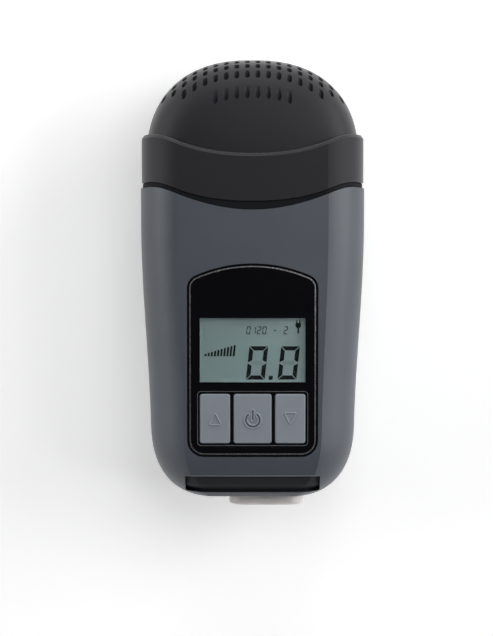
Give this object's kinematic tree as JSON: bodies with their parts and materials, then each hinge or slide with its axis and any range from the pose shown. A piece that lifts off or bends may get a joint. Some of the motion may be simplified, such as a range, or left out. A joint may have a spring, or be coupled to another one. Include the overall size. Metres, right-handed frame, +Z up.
{
  "type": "cpap machine",
  "caption": "Handheld CPAP blower: flared rounded housing with front display and keys, air outlet and power sockets in its tail, and a domed, perforated filter cap that pulls off.",
  "frame": {"origin": "middle of the machine's length and width, on the surface that its four feet stand on", "axes": "+X across the display to the right, +Y from the air outlet to the filter cap, +Z up out of the display, with the machine lying on its back"},
  "size_m": [0.083, 0.1654, 0.0513],
  "materials": {
    "shell_grey": "satin, fine moulded grain",
    "cap_charcoal": "satin",
    "neck_black": "matte",
    "panel_black": "gloss",
    "trim_silver": "bright",
    "lens_clear": "clear",
    "lcd": "satin",
    "lcd_frame": "matte",
    "key_grey": "satin",
    "membrane": "matte",
    "latch_dark": "matte",
    "board_green": "satin",
    "chip_black": "matte",
    "screw_steel": "bright",
    "seal_silicone": "translucent satin",
    "gasket_black": "matte",
    "port_grey": "satin",
    "blower_plastic": "satin",
    "steel": "ground",
    "magnet": "matte",
    "core_iron": "matte",
    "copper": "enamelled",
    "foam_grey": "open cell",
    "filter_white": "open cell",
    "foot_rubber": "matte",
    "socket_black": "satin",
    "socket_metal": "bright"
  },
  "bodies": {
    "housing": {"front_shell": "shell_grey", "rear_shell": "shell_grey", "inlet_bulkhead": "neck_black", "display_bezel": "panel_black", "panel_trim": "trim_silver", "display_lens": "lens_clear", "lcd_glass": "lcd", "lcd_frame": "lcd_frame", "keypad_membrane": "membrane", "latch_plate": "latch_dark", "main_board": "board_green", "power_board": "board_green", "processor_chip": "chip_black", "motor_driver": "chip_black", "pressure_sensor": "chip_black", "case_screw_1": "screw_steel", "case_screw_2": "screw_steel", "case_screw_3": "screw_steel", "case_screw_4": "screw_steel", "board_screw_1": "screw_steel", "board_screw_2": "screw_steel", "board_screw_3": "screw_steel", "board_screw_4": "screw_steel", "blower_screw_1": "screw_steel", "blower_screw_2": "screw_steel", "blower_screw_3": "screw_steel", "outlet_seal": "seal_silicone", "outlet_sleeve": "seal_silicone", "sensor_tube": "seal_silicone", "blower_bush_1": "seal_silicone", "blower_bush_2": "seal_silicone", "blower_bush_3": "seal_silicone", "spigot_gasket": "gasket_black", "outlet_port": "port_grey", "blower_volute": "blower_plastic", "blower_cover": "blower_plastic", "motor_housing": "blower_plastic", "bearing_low": "steel", "bearing_high": "steel", "stator_core": "core_iron", "stator_coils": "copper", "muffler_foam": "foam_grey", "foot_1": "foot_rubber", "foot_2": "foot_rubber", "foot_3": "foot_rubber", "foot_4": "foot_rubber", "dc_jack": "socket_black", "usb_socket": "socket_metal", "dc_pin": "socket_metal"},
    "up_key": {"up_key": "key_grey"},
    "power_key": {"power_key": "key_grey"},
    "down_key": {"down_key": "key_grey"},
    "cap": {"cap_dome": "cap_charcoal", "cap_collar": "cap_charcoal"},
    "filter": {"inlet_filter": "filter_white"},
    "rotor": {"motor_shaft": "steel", "rotor_magnet": "magnet", "impeller": "blower_plastic"}
  },
  "joints": [
    {"name": "up_key_press", "type": "slide", "parent": "housing", "child": "up_key", "axis": [0, 0, -1], "range_m": [0, 0.0006], "stiffness_N_per_m": 600},
    {"name": "power_key_press", "type": "slide", "parent": "housing", "child": "power_key", "axis": [0, 0, -1], "range_m": [0, 0.0006], "stiffness_N_per_m": 600},
    {"name": "down_key_press", "type": "slide", "parent": "housing", "child": "down_key", "axis": [0, 0, -1], "range_m": [0, 0.0006], "stiffness_N_per_m": 600},
    {"name": "cap_pull", "type": "slide", "parent": "housing", "child": "cap", "axis": [0, 1, 0], "range_m": [0, 0.05]},
    {"name": "filter_lift", "type": "slide", "parent": "housing", "child": "filter", "axis": [0, 1, 0], "range_m": [0, 0.025]},
    {"name": "rotor_spin", "type": "hinge", "parent": "housing", "child": "rotor", "pos_m": [-0.008, -0.0204, 0.01095], "axis": [0, 0, 1], "continuous": true}
  ],
  "couplings": [
    {"joint": "filter_lift", "follows": "cap_pull", "ratio": 0.5}
  ]
}
